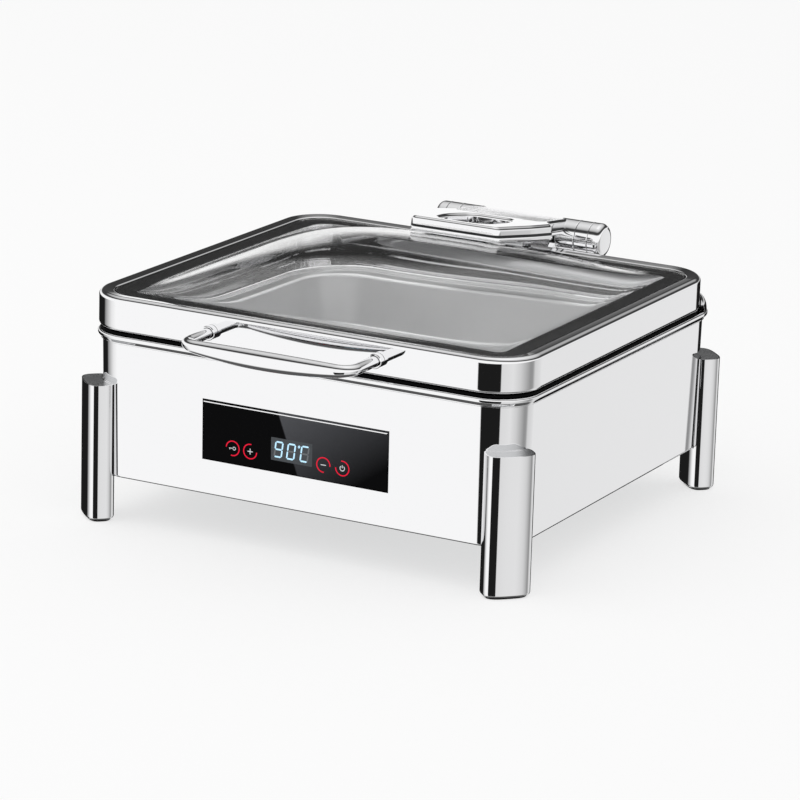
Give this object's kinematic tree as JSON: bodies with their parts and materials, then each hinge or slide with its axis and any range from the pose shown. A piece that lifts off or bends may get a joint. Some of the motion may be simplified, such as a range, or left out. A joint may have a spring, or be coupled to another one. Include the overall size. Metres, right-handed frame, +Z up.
{
  "type": "electric chafing dish",
  "caption": "Square electric food warmer on stub legs: polished steel casing with a touch panel, a water bath, a lift-out food pan and a domed glass lid on a rear damped hinge.",
  "frame": {"origin": "on the surface it stands on, under the middle of its outline from the handle to the hinge barrels", "axes": "+Z up, +X to the right seen from the front, -Y the front with the control panel and the handle"},
  "size_m": [0.4408, 0.4996, 0.2432],
  "materials": {
    "polished_steel": "mirror polished stainless steel",
    "satin_steel": "satin drawn stainless steel",
    "sheet_steel": "plain mill finish",
    "cast_aluminium": "cast, machined top",
    "clear_glass": "clear tempered glass with a black printed border",
    "black_glass": "glossy back-printed touch panel",
    "black_silicone": "matt silicone",
    "black_plastic": "moulded, fine grain",
    "circuit_board": "green solder mask",
    "display_plastic": "smoked display window",
    "ceramic_fibre": "white ceramic fibre board",
    "brass_alloy": "turned"
  },
  "bodies": {
    "root": {"casing": "polished_steel", "water_pan": "polished_steel", "hinge_ledge": "polished_steel", "hinge_bracket": "polished_steel", "leg_front_left": "polished_steel", "leg_front_right": "polished_steel", "leg_rear_left": "polished_steel", "leg_rear_right": "polished_steel", "damper_left": "polished_steel", "damper_right": "polished_steel", "hinge_cap_left": "polished_steel", "hinge_cap_right": "polished_steel", "hinge_shaft": "satin_steel", "base_plate": "sheet_steel", "heater_tray": "sheet_steel", "leg_bolt_front_left": "sheet_steel", "leg_bolt_front_right": "sheet_steel", "leg_bolt_rear_left": "sheet_steel", "leg_bolt_rear_right": "sheet_steel", "base_screw_front_left": "sheet_steel", "base_screw_front_right": "sheet_steel", "base_screw_rear_left": "sheet_steel", "base_screw_rear_right": "sheet_steel", "bracket_bolt_left": "sheet_steel", "bracket_bolt_right": "sheet_steel", "heating_plate": "cast_aluminium", "panel_glass": "black_glass", "foot_pad_front_left": "black_silicone", "foot_pad_front_right": "black_silicone", "foot_pad_rear_left": "black_silicone", "foot_pad_rear_right": "black_silicone", "panel_housing": "black_plastic", "power_inlet": "black_plastic", "touch_board": "circuit_board", "control_board": "circuit_board", "display_module": "display_plastic", "insulation_pad": "ceramic_fibre", "thermal_cutout": "brass_alloy", "temperature_sensor": "brass_alloy"},
    "lid": {"lid_frame": "polished_steel", "lid_glass": "clear_glass", "glass_seal": "black_silicone", "lid_gasket": "black_silicone", "hinge_arm": "polished_steel", "arm_pad": "black_silicone", "clamp_plate": "polished_steel", "handle": "polished_steel", "hinge_bush_left": "black_plastic", "hinge_bush_right": "black_plastic", "arm_screw_left": "sheet_steel", "arm_screw_right": "sheet_steel", "handle_collar_left": "polished_steel", "handle_collar_right": "polished_steel", "handle_screw_left": "sheet_steel", "handle_screw_right": "sheet_steel"},
    "food_pan": {"food_pan": "satin_steel"}
  },
  "joints": [
    {"name": "lid_hinge", "type": "hinge", "parent": "root", "child": "lid", "pos_m": [0, 0.2333, 0.209], "axis": [-1, 0, 0], "range_deg": [0, 90]},
    {"name": "food_pan_lift", "type": "slide", "parent": "root", "child": "food_pan", "axis": [0, 0, 1], "range_m": [0, 0.025]}
  ]
}
